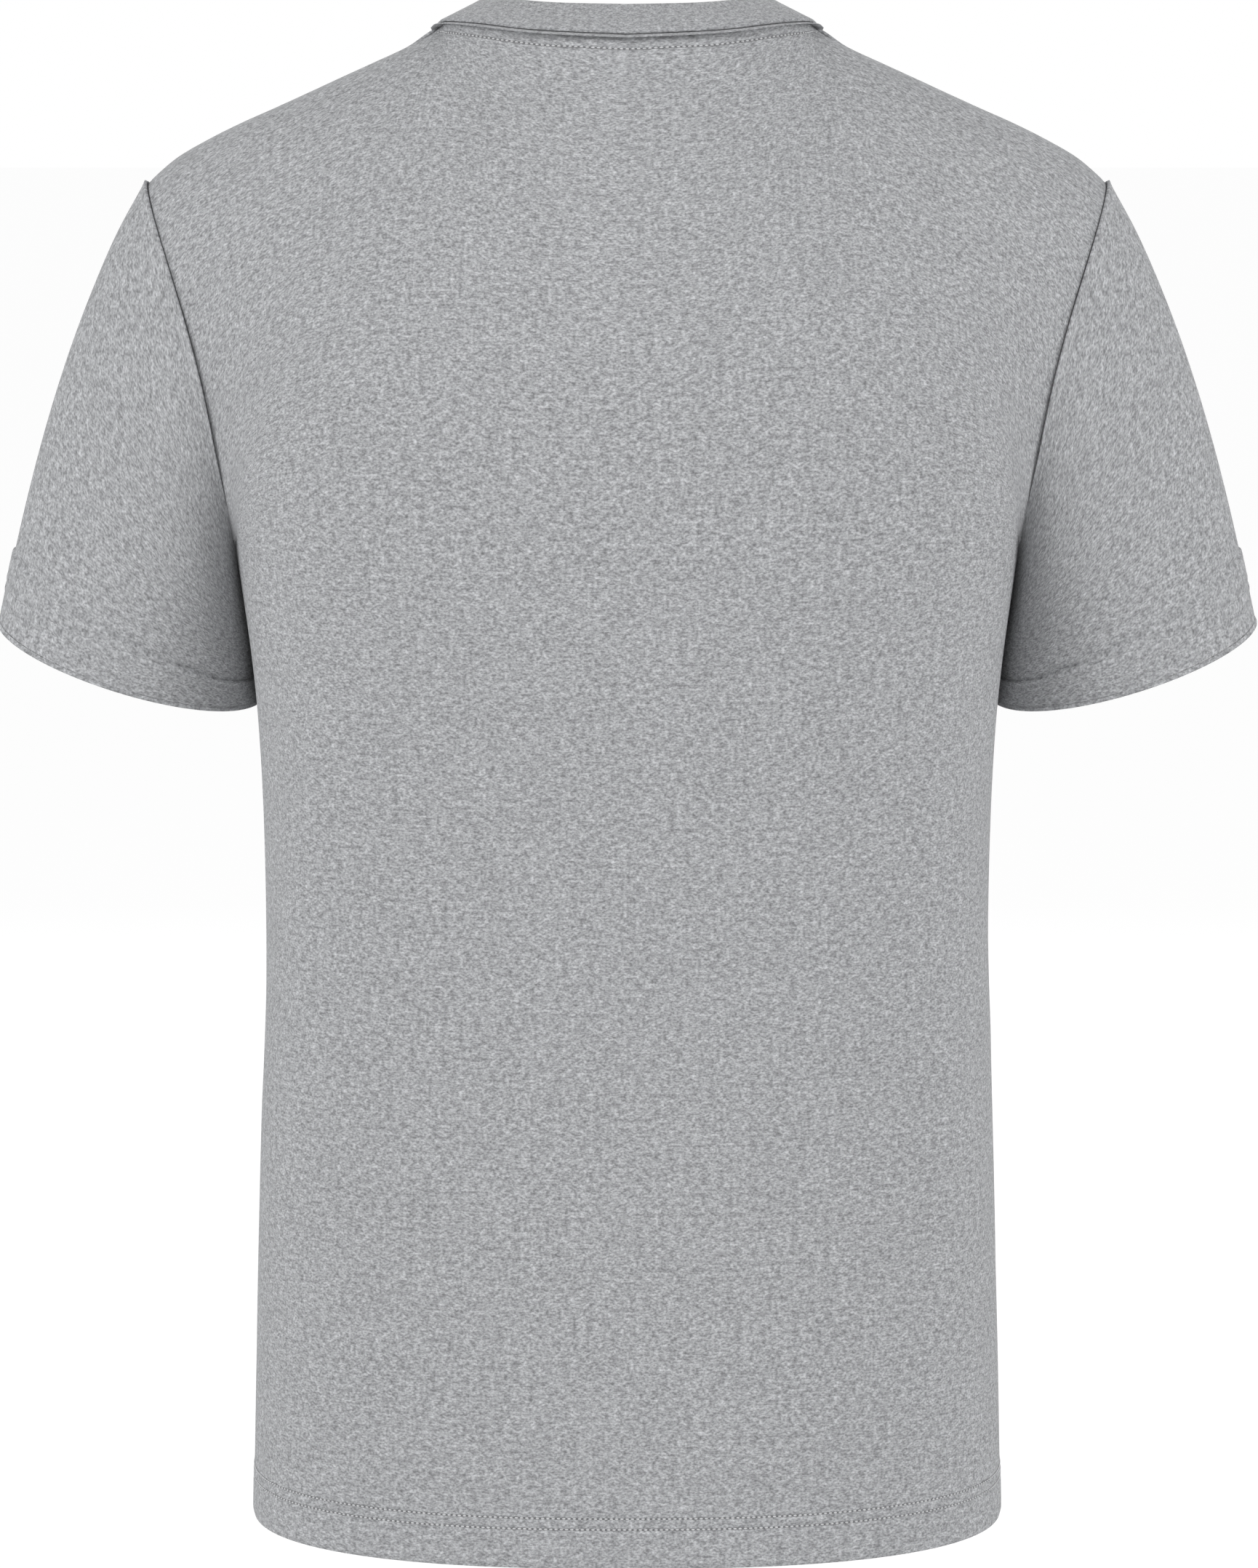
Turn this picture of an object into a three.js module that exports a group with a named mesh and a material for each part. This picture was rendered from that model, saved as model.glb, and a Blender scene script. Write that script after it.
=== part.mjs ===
// A short-sleeved V-neck T-shirt, filled out as when it is worn: cloth walls only, open at
// the neck, the hem and both cuffs. Millimetres, +Z up. The front faces -Y and the wearer's
// left is +X. The origin lies between the two high points of the shoulders.
import * as THREE from 'three';

// Driving dimensions.
const CLOTH = 1.6; // one layer of jersey with its nap
const TURNED_UP = 2.8; // two layers, where a hem is folded up
const RIB = 2.6; // the neckband, folded double
const SEAM_GAP = 0.9; // between two pieces where they are sewn
const PARTED = 0.3; // between them where one doubles back over the other
const HEM_Z = -725; // bottom edge below the shoulder points
const HEM_FOLD = 24; // height of the turned-up hems
const UNDERARM_Z = -252;
const NECK_SHARE = 0.4; // share of a panel's top edge that lies on the neckline

const HALF_COLUMNS = 15; // from a panel's centre to its side
const YOKE_ROWS = 12; // from the underarm to the shoulder seam
const BODY_ROWS = 9; // from the hem fold to the underarm
const SLEEVE_ROWS = 7; // from the armhole to the cuff fold
const BAND_ROWS = 2; // across the neckband
const FOLD_LEDGE = 1; // height over which a turned-up hem thins to one layer
const CUFF_FOLD_AT = 0.86; // share of the sleeve's run where its turned-up hem begins
const CUFF_FOLD_LEDGE = 0.006; // the same ledge as a share of that run
const ARC_STEPS = 60; // for measuring along a quarter section
const SIDE_POWER = 3; // how quickly the armhole's shape fades towards the centre
const MITRE_BELOW = 0.2; // cosine between two pieces; past it each keeps its own edge
const MITRE_LIMIT = 0.8; // keeps a mitred edge from reaching too far
const PLACES_PER_MM = 50; // points closer together than this count as one
const SETTLING = { passes: 300, step: 0.45, heldColumns: 1 }; // how the back evens out

// The body below the arms: one closed section a row. A square of 2 makes an oval, and more
// than 2 fills out its corners.
const BODY_SECTIONS = [
  { z: HEM_Z, halfWidth: 184.4, back: 131, front: 135, square: 2.42 },
  { z: -642, halfWidth: 182.4, back: 129, front: 133, square: 2.45 },
  { z: -554, halfWidth: 179.6, back: 127, front: 132, square: 2.48 },
  { z: -467, halfWidth: 177.1, back: 126, front: 132, square: 2.5 },
  { z: -395, halfWidth: 177.4, back: 127, front: 134, square: 2.45 },
  { z: -338, halfWidth: 179.8, back: 129, front: 137, square: 2.4 },
  { z: -295, halfWidth: 183.6, back: 131, front: 139, square: 2.4 },
  { z: UNDERARM_Z, halfWidth: 189.3, back: 132, front: 140, square: 2.4 },
];

// The shoulder seam, from the neck to the top of the armhole.
const SHOULDER_SEAM = [
  { x: 91, y: -6, z: 0.4 },
  { x: 97, y: -6, z: -2.4 },
  { x: 103.5, y: -7, z: -7.1 },
  { x: 133, y: -8, z: -20.8 },
  { x: 163.7, y: -9, z: -34.9 },
  { x: 194.4, y: -9, z: -48.8 },
  { x: 218.6, y: -9, z: -62.4 },
  { x: 231.5, y: -9, z: -73.5 },
];

// Where the neckband is sewn on at the back, from the centre to the shoulder seam.
const BACK_NECK_SEAM = [
  { x: 0, y: 62, z: -3 },
  { x: 44, y: 55.5, z: -1 },
  { x: 73, y: 36, z: 2 },
  { x: 87, y: 14, z: 2.4 },
  { x: 91, y: -6, z: 0.4 },
];

// The folded top edge of the neckband at the back, over the same stretch.
const BACK_BAND_TOP = [
  { x: 0, y: 43, z: 10.7 },
  { x: 34, y: 38, z: 11.4 },
  { x: 54, y: 24, z: 12.8 },
  { x: 64, y: 8, z: 13.6 },
  { x: 67, y: -8, z: 13.2 },
];

// Hermite curves: start and end points with the directions in which the cloth leaves them.
const CENTRE_BACK = {
  from: [0, 132, UNDERARM_Z],
  leave: [0, 6, 250],
  to: [0, 62, -3],
  arrive: [0, -185, 140],
};
const CENTRE_FRONT = {
  from: [0, -140, UNDERARM_Z],
  leave: [0, 4, 100],
  to: [0, -120, -152],
  arrive: [0, 44, 96],
};
const FRONT_NECK_SEAM = {
  from: [91, -6, 0.4],
  leave: [-12, -150, -40],
  to: [0, -120, -152],
  arrive: [-110, -60, -190],
};
const FRONT_BAND_TOP = {
  from: [67, -8, 13.2],
  leave: [-10, -125, -26],
  to: [0, -104, -106],
  arrive: [-84, -62, -146],
};

// The armhole is an upright oval; it leans in towards the underarm and its sides bow in.
const ARMHOLE = { backReach: 58, frontReach: 60, bow: 6.8, bowPower: 1.3 };

// The cuff is a ring across the sleeve, which hangs forward of straight down.
const CUFF = {
  centre: [244.6, -34, -308.5],
  outward: [62.6, 0, 16.4],
  backward: [-8, 56, -12.5],
};

// How the sleeve's cloth leaves the armhole and reaches the cuff, round from the underarm
// over the back to the shoulder, the same down the front.
const SLEEVE_RUN = [
  { name: 'underarm', leave: [-3, -10, -62], arrive: [-8, -24, -74] },
  { name: 'side', leave: [74, -8, -150], arrive: [34, -30, -150] },
  { name: 'shoulder', leave: [118, -6, -200], arrive: [52, -34, -232] },
];

const vector = (list) => new THREE.Vector3(list[0], list[1], list[2]);

function hermite(curve, t) {
  const after = t * t * (3 - 2 * t);
  const start = t * (1 - t) * (1 - t);
  const end = t * t * (t - 1);
  return vector(curve.from)
    .multiplyScalar(1 - after)
    .addScaledVector(vector(curve.to), after)
    .addScaledVector(vector(curve.leave), start)
    .addScaledVector(vector(curve.arrive), end);
}

function splineThrough(rows) {
  const points = rows.map((row) => new THREE.Vector3(row.x, row.y, row.z));
  return new THREE.CatmullRomCurve3(points, false, 'centripetal');
}

const backNeck = splineThrough(BACK_NECK_SEAM);
const backBandTop = splineThrough(BACK_BAND_TOP);
const shoulderSeam = splineThrough(SHOULDER_SEAM);

// A column of a table at height z, by a smooth curve through its rows.
function sectionAt(z) {
  const last = BODY_SECTIONS.length - 1;
  let k = 0;
  while (k < last - 1 && BODY_SECTIONS[k + 1].z < z) k += 1;
  const row = (i) => BODY_SECTIONS[THREE.MathUtils.clamp(i, 0, last)];
  const span = row(k + 1).z - row(k).z;
  const t = (z - row(k).z) / span;
  const column = (name) => {
    const slope = (i) => {
      const rise = row(i + 1)[name] - row(i - 1)[name];
      return (rise / (row(i + 1).z - row(i - 1).z)) * span;
    };
    const after = t * t * (3 - 2 * t);
    return (
      row(k)[name] * (1 - after) +
      row(k + 1)[name] * after +
      slope(k) * t * (1 - t) * (1 - t) +
      slope(k + 1) * t * t * (t - 1)
    );
  };
  return {
    halfWidth: column('halfWidth'),
    back: column('back'),
    front: column('front'),
    square: column('square'),
  };
}

// The point a share u of the way round a quarter section, from the centre to the side.
function sectionPoint(face, u, z) {
  const section = sectionAt(z);
  const depth = face > 0 ? section.back : section.front;
  const power = 2 / section.square;
  const at = (k) => {
    const angle = (k / ARC_STEPS) * (Math.PI / 2);
    const x = section.halfWidth * Math.sin(angle) ** power;
    const y = k === ARC_STEPS ? 0 : depth * Math.cos(angle) ** power;
    return new THREE.Vector3(x, face * y, z);
  };
  const points = Array.from({ length: ARC_STEPS + 1 }, (_, k) => at(k));
  const lengths = [0];
  for (let k = 1; k <= ARC_STEPS; k += 1) {
    lengths.push(lengths[k - 1] + points[k].distanceTo(points[k - 1]));
  }
  const wanted = u * lengths[ARC_STEPS];
  let k = 1;
  while (k < ARC_STEPS && lengths[k] < wanted) k += 1;
  const within = (wanted - lengths[k - 1]) / (lengths[k] - lengths[k - 1]);
  return points[k - 1].clone().lerp(points[k], within);
}

// The armhole seam, v from 0 at the underarm to 1 at the shoulder seam.
function armholePoint(face, v) {
  const top = SHOULDER_SEAM[SHOULDER_SEAM.length - 1];
  const underarm = BODY_SECTIONS[BODY_SECTIONS.length - 1];
  const rise = (1 - Math.cos(Math.PI * v)) / 2;
  const reach = face > 0 ? ARMHOLE.backReach : ARMHOLE.frontReach;
  const bow = ARMHOLE.bow * Math.sin(Math.PI * rise) ** ARMHOLE.bowPower;
  return new THREE.Vector3(
    THREE.MathUtils.lerp(underarm.halfWidth, top.x, rise) - bow,
    top.y * rise + face * reach * Math.sin(Math.PI * v),
    THREE.MathUtils.lerp(UNDERARM_Z, top.z, rise),
  );
}

function topEdgePoint(face, u) {
  if (u > NECK_SHARE) return shoulderSeam.getPointAt((u - NECK_SHARE) / (1 - NECK_SHARE));
  const along = u / NECK_SHARE;
  return face > 0 ? backNeck.getPointAt(along) : hermite(FRONT_NECK_SEAM, 1 - along);
}

// The yoke fills in between the underarm section, the armhole, the top edge and the centre
// line. Upwards its cloth rises quickly at first and then rolls over to the shoulder seam.
function yokePoint(face, u, v) {
  const low = sectionPoint(face, u, UNDERARM_Z);
  const high = topEdgePoint(face, u);
  const roll = (start, end) =>
    new THREE.Vector3(
      THREE.MathUtils.lerp(start.x, end.x, v),
      THREE.MathUtils.lerp(start.y, end.y, 1 - Math.cos((Math.PI / 2) * v)),
      THREE.MathUtils.lerp(start.z, end.z, Math.sin((Math.PI / 2) * v)),
    );
  const centre = face > 0 ? CENTRE_BACK : CENTRE_FRONT;
  const centreShift = hermite(centre, v).sub(roll(vector(centre.from), vector(centre.to)));
  const underarm = armholePoint(face, 0);
  const sideShift = armholePoint(face, v).sub(roll(underarm, armholePoint(face, 1)));
  const sideShare = u ** SIDE_POWER;
  return roll(low, high)
    .addScaledVector(centreShift, 1 - u)
    .addScaledVector(sideShift, sideShare);
}

// One panel as rows from the hem to the top, each from the wearer's right to the left.
function panelGrid(face) {
  const halfRow = (pointAt) => {
    const row = [];
    for (let k = -HALF_COLUMNS; k <= HALF_COLUMNS; k += 1) {
      const point = pointAt(Math.abs(k) / HALF_COLUMNS);
      if (k < 0) point.x = -point.x;
      if (k === 0) point.x = 0;
      row.push(point);
    }
    return row;
  };
  const foldTop = HEM_Z + HEM_FOLD;
  const heights = [HEM_Z, foldTop, foldTop + FOLD_LEDGE];
  for (let k = 1; k <= BODY_ROWS; k += 1) {
    heights.push(THREE.MathUtils.lerp(foldTop, UNDERARM_Z, k / BODY_ROWS));
  }
  const rows = heights.map((z) => halfRow((u) => sectionPoint(face, u, z)));
  for (let k = 1; k <= YOKE_ROWS; k += 1) {
    rows.push(halfRow((u) => yokePoint(face, u, k / YOKE_ROWS)));
  }
  return rows;
}

// The back yoke's cloth settles where it bends least. Its edges stay, and so does the body
// below, but over the shoulder seam it bends as one with the front.
function settle(back, front) {
  const top = back.length - 1;
  const underarm = top - YOKE_ROWS;
  const neckColumns = Math.round(HALF_COLUMNS * NECK_SHARE);
  const onNeck = (j) => Math.abs(j - HALF_COLUMNS) < neckColumns;
  const lastColumn = 2 * HALF_COLUMNS;
  const flat = new THREE.Vector3();
  const mean = (grid, i, j) =>
    (i < top ? grid[i + 1][j] : front[top - 1][j])
      .clone()
      .add(grid[i - 1][j])
      .add(grid[i][j - 1])
      .add(grid[i][j + 1])
      .divideScalar(4);
  const bendAt = (i, j) => {
    const onEdge = j === 0 || j === lastColumn || (i === top && onNeck(j));
    if (i < underarm || onEdge) return flat;
    return mean(back, i, j).sub(back[i][j]);
  };
  for (let pass = 0; pass < SETTLING.passes; pass += 1) {
    const bend = back.map((row, i) => row.map((_, j) => bendAt(i, j)));
    for (let i = underarm + 1; i < top; i += 1) {
      for (let j = 1 + SETTLING.heldColumns; j < lastColumn - SETTLING.heldColumns; j += 1) {
        const excess = mean(bend, i, j).sub(bend[i][j]);
        back[i][j].addScaledVector(excess, -SETTLING.step);
      }
    }
  }
}

// One sleeve as rings from the armhole to the cuff, each starting at the underarm and
// running up the back, over the shoulder and down the front.
function sleeveGrid(side) {
  const count = 2 * YOKE_ROWS;
  const rowShares = [0];
  for (let k = 1; k <= SLEEVE_ROWS; k += 1) {
    rowShares.push((CUFF_FOLD_AT * k) / SLEEVE_ROWS);
  }
  rowShares.push(CUFF_FOLD_AT + CUFF_FOLD_LEDGE, 1);
  return rowShares.map((share) => {
    const ring = [];
    for (let k = 0; k < count; k += 1) {
      const face = k <= YOKE_ROWS ? 1 : -1;
      const v = face > 0 ? k / YOKE_ROWS : (count - k) / YOKE_ROWS;
      const point = sleevePoint(face, v, share);
      point.x *= side;
      ring.push(point);
    }
    return ring;
  });
}

function sleevePoint(face, v, share) {
  const angle = Math.PI * v;
  const end = vector(CUFF.centre)
    .addScaledVector(vector(CUFF.outward), -Math.cos(angle))
    .addScaledVector(vector(CUFF.backward), face * Math.sin(angle));
  const [underarm, side, shoulder] = SLEEVE_RUN;
  const pull = (name) => {
    const ends = vector(underarm[name]).lerp(vector(shoulder[name]), (1 - Math.cos(angle)) / 2);
    const middle = vector(underarm[name]).lerp(vector(shoulder[name]), 0.5);
    return ends.addScaledVector(vector(side[name]).sub(middle), Math.sin(angle) ** 2);
  };
  const run = {
    from: armholePoint(face, v).toArray(),
    leave: pull('leave').toArray(),
    to: end.toArray(),
    arrive: pull('arrive').toArray(),
  };
  return hermite(run, share);
}

// The neckband as rings from its seam to its folded edge, each starting at the centre back.
function bandGrid() {
  const quarter = Math.round(HALF_COLUMNS * NECK_SHARE);
  const edgeAt = (onTop, k) => {
    const share = (k % quarter) / quarter;
    if (k < quarter) return (onTop ? backBandTop : backNeck).getPointAt(share);
    return hermite(onTop ? FRONT_BAND_TOP : FRONT_NECK_SEAM, k === 2 * quarter ? 1 : share);
  };
  const rings = [];
  for (let r = 0; r <= BAND_ROWS; r += 1) {
    const ring = [];
    for (let k = 0; k < 4 * quarter; k += 1) {
      const fold = k <= 2 * quarter ? k : 4 * quarter - k;
      const point = edgeAt(false, fold).lerp(edgeAt(true, fold), r / BAND_ROWS);
      if (k > 2 * quarter) point.x = -point.x;
      ring.push(point);
    }
    rings.push(ring);
  }
  return rings;
}

// A sheet is a grid with its outward side: closed rings wrap round, and flip turns it over.
// Facets lean the other way in the first columns, so that the shirt's halves mirror.
function sheet(grid, wraps, flip, leanColumns) {
  const faces = [];
  const columns = grid[0].length;
  for (let i = 0; i + 1 < grid.length; i += 1) {
    for (let j = 0; j + (wraps ? 0 : 1) < columns; j += 1) {
      const next = (j + 1) % columns;
      const corners = [
        [i, j],
        [i, next],
        [i + 1, next],
        [i + 1, j],
      ];
      if (flip) corners.reverse();
      if (j < leanColumns) corners.push(corners.shift());
      faces.push(corners);
    }
  }
  return { grid, wraps, faces };
}

const keyOf = (point) => point.toArray().map((value) => Math.round(value * PLACES_PER_MM)).join(' ');

// Average outward normals over all sheets of a group, by place, so that they share seams.
function normalsOf(sheets) {
  const sums = new Map();
  sheets.forEach(({ grid, faces }) => {
    faces.forEach((corners) => {
      const [a, b, c, d] = corners.map(([i, j]) => grid[i][j]);
      const normal = c.clone().sub(a).cross(d.clone().sub(b));
      [a, b, c, d].forEach((point) => {
        const key = keyOf(point);
        if (!sums.has(key)) sums.set(key, new THREE.Vector3());
        sums.get(key).add(normal);
      });
    });
  });
  sums.forEach((sum) => sum.normalize());
  return sums;
}

// The way into the sheet from a point on its edge: the sum of the ways along the grid.
function wayIn(piece, i, j) {
  const { grid, wraps } = piece;
  const last = grid.length - 1;
  const columns = grid[0].length;
  const way = new THREE.Vector3();
  const toward = (point) => way.add(point.clone().sub(grid[i][j]).normalize());
  if (i === 0) toward(grid[1][j]);
  if (i === last) toward(grid[last - 1][j]);
  if (!wraps && j === 0) toward(grid[i][1]);
  if (!wraps && j === columns - 1) toward(grid[i][columns - 2]);
  return way;
}

// A cloth wall: the sheet is the outside and the inside lies a thickness below it. Edges
// that are sewn draw back by half the seam gap. Where the cloth bends over a seam both pieces
// end on the plane that halves the bend, and where it doubles back they also part across it.
function wall(piece, own, others, thicknessAt, sewnAt) {
  const { grid, faces } = piece;
  const columns = grid[0].length;
  const outside = [];
  const inside = [];
  grid.forEach((row, i) => {
    row.forEach((point, j) => {
      const normal = own.get(keyOf(point)).clone();
      const neighbour = others.get(keyOf(point));
      const way = wayIn(piece, i, j);
      let depth = thicknessAt(i);
      const doubledBack = neighbour && normal.dot(neighbour) <= MITRE_BELOW;
      if (neighbour && !doubledBack) {
        const shared = normal.clone().add(neighbour).normalize();
        depth /= Math.max(MITRE_LIMIT, shared.dot(normal));
        normal.copy(shared);
      }
      const back = new THREE.Vector3();
      if (sewnAt(i, j)) {
        back.addScaledVector(way, SEAM_GAP / 2);
        if (doubledBack) back.addScaledVector(normal, -PARTED / 2);
      }
      const outer = point.clone().add(back);
      outside.push(outer);
      inside.push(outer.clone().addScaledVector(normal, -depth));
    });
  });
  const index = [];
  const count = outside.length;
  const at = ([i, j]) => i * columns + j;
  const quad = (a, b, c, d) => index.push(a, b, c, a, c, d);
  const borders = new Map();
  faces.forEach((corners) => {
    const [a, b, c, d] = corners.map(at);
    quad(a, b, c, d);
    quad(d + count, c + count, b + count, a + count);
    [[a, b], [b, c], [c, d], [d, a]].forEach(([from, to]) => {
      if (!borders.delete(`${to} ${from}`)) borders.set(`${from} ${to}`, [from, to]);
    });
  });
  borders.forEach(([from, to]) => quad(to, from, from + count, to + count));
  const geometry = new THREE.BufferGeometry();
  const positions = [...outside, ...inside].flatMap((point) => point.toArray());
  geometry.setAttribute('position', new THREE.Float32BufferAttribute(positions, 3));
  geometry.setIndex(index);
  geometry.computeVertexNormals();
  return geometry;
}

const jersey = { color: 0xa5a6a9, roughness: 0.95, metalness: 0 };
const rib = { color: 0xa2a3a6, roughness: 0.95, metalness: 0 };

function named(name, geometry, look) {
  const mesh = new THREE.Mesh(geometry, new THREE.MeshStandardMaterial(look));
  mesh.name = name;
  return mesh;
}

function makeShirt() {
  const backGrid = panelGrid(1);
  const frontGrid = panelGrid(-1);
  settle(backGrid, frontGrid);
  const back = sheet(backGrid, false, true, HALF_COLUMNS);
  const front = sheet(frontGrid, false, false, HALF_COLUMNS);
  const left = sheet(sleeveGrid(1), true, false, 0);
  const right = sheet(sleeveGrid(-1), true, true, 2 * YOKE_ROWS);
  // The neckband's sheet faces inwards, so its wall lies outside it and stands proud.
  const band = sheet(bandGrid(), true, false, 0);
  const bodyNormals = normalsOf([back, front]);
  const sleeveNormals = normalsOf([left, right]);
  const bandNormals = normalsOf([band]);
  const beside = new Map([...sleeveNormals, ...bandNormals]);

  const hemmed = (i) => (i < 2 ? TURNED_UP : CLOTH);
  const cuffed = (i) => (i > SLEEVE_ROWS ? TURNED_UP : CLOTH);
  const panelSewn = (piece) => (i, j) =>
    j === 0 || j === piece.grid[0].length - 1 || i === piece.grid.length - 1;

  const shirt = new THREE.Group();
  shirt.add(
    named('back', wall(back, bodyNormals, beside, hemmed, panelSewn(back)), jersey),
    named('front', wall(front, bodyNormals, beside, hemmed, panelSewn(front)), jersey),
    named('sleeve_left', wall(left, sleeveNormals, bodyNormals, cuffed, (i) => i === 0), jersey),
    named('sleeve_right', wall(right, sleeveNormals, bodyNormals, cuffed, (i) => i === 0), jersey),
    named('neckband', wall(band, bandNormals, bodyNormals, () => RIB, (i) => i === 0), rib),
  );
  return shirt;
}

export default makeShirt();
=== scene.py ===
# A short-sleeved V-neck T-shirt in heather grey jersey, filled out as when it is worn and
# seen from behind. Metres, +Z up; the front faces -Y and the wearer's left is +X.
import math

import bpy
import numpy as np
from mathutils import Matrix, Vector


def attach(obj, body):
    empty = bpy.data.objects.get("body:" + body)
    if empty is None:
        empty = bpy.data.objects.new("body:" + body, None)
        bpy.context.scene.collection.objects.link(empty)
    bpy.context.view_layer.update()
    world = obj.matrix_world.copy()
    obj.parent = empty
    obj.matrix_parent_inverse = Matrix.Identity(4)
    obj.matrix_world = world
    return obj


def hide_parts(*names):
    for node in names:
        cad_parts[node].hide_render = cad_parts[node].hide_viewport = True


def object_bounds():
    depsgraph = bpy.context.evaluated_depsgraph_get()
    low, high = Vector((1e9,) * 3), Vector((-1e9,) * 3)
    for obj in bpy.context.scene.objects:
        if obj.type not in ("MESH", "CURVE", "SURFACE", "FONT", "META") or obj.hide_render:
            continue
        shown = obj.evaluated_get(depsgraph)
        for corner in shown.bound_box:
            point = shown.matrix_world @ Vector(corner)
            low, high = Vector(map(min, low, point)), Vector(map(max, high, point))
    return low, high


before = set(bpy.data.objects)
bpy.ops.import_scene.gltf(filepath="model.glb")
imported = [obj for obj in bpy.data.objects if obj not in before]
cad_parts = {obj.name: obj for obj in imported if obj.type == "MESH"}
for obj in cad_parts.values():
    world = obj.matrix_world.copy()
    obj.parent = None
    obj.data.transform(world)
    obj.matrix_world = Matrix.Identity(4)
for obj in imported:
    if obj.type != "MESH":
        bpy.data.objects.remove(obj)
cad_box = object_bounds()

MM = 0.001

# Driving dimensions, in millimetres as the garment is drawn.
HEM_Z = -725
HEM_FOLD = 24
UNDERARM_Z = -252
NECK_SHARE = 0.4
HALF_COLUMNS = 15
YOKE_ROWS = 12
BODY_ROWS = 9
SLEEVE_ROWS = 7
CUFF_SHARE = 0.86
SETTLE_PASSES = 300
SETTLE_STEP = 0.45
SECTION_STEPS = 60
CUFF_MIDDLE = 0.93
FINE = 6

CLOTH = 1.5
TURNED_UP = 2.7
RIB = 2.5
SEAM_DIP = 0.35
SEAM_REACH = 2.2
TUCK = 1.6
NEEDLE_ROWS = (19.0, 24.2)
TOPSTITCH = 7.0
HEM_STITCH = 2.5
NECK_STITCH = 2.7

# Light from all round, and the floor's share of pure white for the camera.
AMBIENT = 0.40
FLOOR_WHITE = 0.86
FLOOR_GLOW = 1.08
FLOOR_DROP = 0.25

BODY_SECTIONS = [
    dict(z=HEM_Z, half_width=184.4, back=131, front=135, square=2.42),
    dict(z=-642, half_width=182.4, back=129, front=133, square=2.45),
    dict(z=-554, half_width=179.6, back=127, front=132, square=2.48),
    dict(z=-467, half_width=177.1, back=126, front=132, square=2.5),
    dict(z=-395, half_width=177.4, back=127, front=134, square=2.45),
    dict(z=-338, half_width=179.8, back=129, front=137, square=2.4),
    dict(z=-295, half_width=183.6, back=131, front=139, square=2.4),
    dict(z=UNDERARM_Z, half_width=189.3, back=132, front=140, square=2.4),
]
SHOULDER_SEAM = [
    dict(x=91, y=-6, z=0.4),
    dict(x=97, y=-6, z=-2.4),
    dict(x=103.5, y=-7, z=-7.1),
    dict(x=133, y=-8, z=-20.8),
    dict(x=163.7, y=-9, z=-34.9),
    dict(x=194.4, y=-9, z=-48.8),
    dict(x=218.6, y=-9, z=-62.4),
    dict(x=231.5, y=-9, z=-73.5),
]
BACK_NECK_SEAM = [
    dict(x=0, y=62, z=-3),
    dict(x=44, y=55.5, z=-1),
    dict(x=73, y=36, z=2),
    dict(x=87, y=14, z=2.4),
    dict(x=91, y=-6, z=0.4),
]
BACK_BAND_TOP = [
    dict(x=0, y=43, z=10.7),
    dict(x=34, y=38, z=11.4),
    dict(x=54, y=24, z=12.8),
    dict(x=64, y=8, z=13.6),
    dict(x=67, y=-8, z=13.2),
]
# Hermite curves: start, leaving direction, end, arriving direction.
CENTRE_BACK = ([0, 132, UNDERARM_Z], [0, 6, 250], [0, 62, -3], [0, -185, 140])
CENTRE_FRONT = ([0, -140, UNDERARM_Z], [0, 4, 100], [0, -120, -152], [0, 44, 96])
FRONT_NECK_SEAM = ([91, -6, 0.4], [-12, -150, -40], [0, -120, -152], [-110, -60, -190])
FRONT_BAND_TOP = ([67, -8, 13.2], [-10, -125, -26], [0, -104, -106], [-84, -62, -146])
ARMHOLE = dict(back_reach=58, front_reach=60, bow=6.8, bow_power=1.3)
CUFF = dict(centre=[244.6, -34, -308.5], outward=[62.6, 0, 16.4], backward=[-8, 56, -12.5])
SLEEVE_RUN = dict(
    underarm=dict(leave=[-3, -10, -62], arrive=[-8, -24, -74]),
    side=dict(leave=[74, -8, -150], arrive=[34, -30, -150]),
    shoulder=dict(leave=[118, -6, -200], arrive=[52, -34, -232]),
)

# Soft folds of the body, as ridges and troughs running down it: x at three heights, how
# wide and how high they stand, and the heights between which they fade in and out.
FOLDS = [
    dict(face=1, x_top=150, x_mid=156, x_low=172, width=15, height=1.5, top=-190, low=-640),
    dict(face=1, x_top=170, x_mid=171, x_low=182, width=12, height=-1.8, top=-225, low=-520),
    dict(face=1, x_top=-148, x_mid=-153, x_low=-168, width=17, height=1.3, top=-250, low=-600),
    dict(face=1, x_top=-168, x_mid=-171, x_low=-180, width=12, height=-1.6, top=-235, low=-480),
    dict(face=1, x_top=60, x_mid=74, x_low=92, width=30, height=0.8, top=-420, low=-715),
    dict(face=1, x_top=-52, x_mid=-66, x_low=-88, width=34, height=0.7, top=-380, low=-720),
    dict(face=1, x_top=12, x_mid=4, x_low=-8, width=40, height=-0.8, top=-330, low=-700),
    dict(face=-1, x_top=146, x_mid=150, x_low=162, width=18, height=1.7, top=-180, low=-560),
    dict(face=-1, x_top=-142, x_mid=-151, x_low=-166, width=16, height=1.5, top=-200, low=-620),
    dict(face=-1, x_top=168, x_mid=168, x_low=176, width=13, height=-1.9, top=-210, low=-480),
    dict(face=-1, x_top=-166, x_mid=-170, x_low=-178, width=13, height=-1.6, top=-215, low=-520),
    dict(face=-1, x_top=48, x_mid=70, x_low=96, width=34, height=0.9, top=-300, low=-690),
    dict(face=-1, x_top=-40, x_mid=-58, x_low=-70, width=30, height=0.8, top=-360, low=-715),
]

# The colours of the yarn, linear, and the painted shade of the groove under the stitches.
HEATHER_MID = 0.375
THREAD = (0.60, 0.605, 0.615)
# Dark grey under the stitches: painted shade of the groove they sink into, not a colour of the
# yarn.
PAINTED_GROOVE_SHADE = (0.17, 0.172, 0.178)


def hermite(curve, t):
    start, leave, end, arrive = (np.array(part, float) for part in curve)
    t = np.asarray(t, float)[..., None]
    after = t * t * (3 - 2 * t)
    return start * (1 - after) + end * after + leave * t * (1 - t) ** 2 + arrive * t * t * (t - 1)


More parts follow.
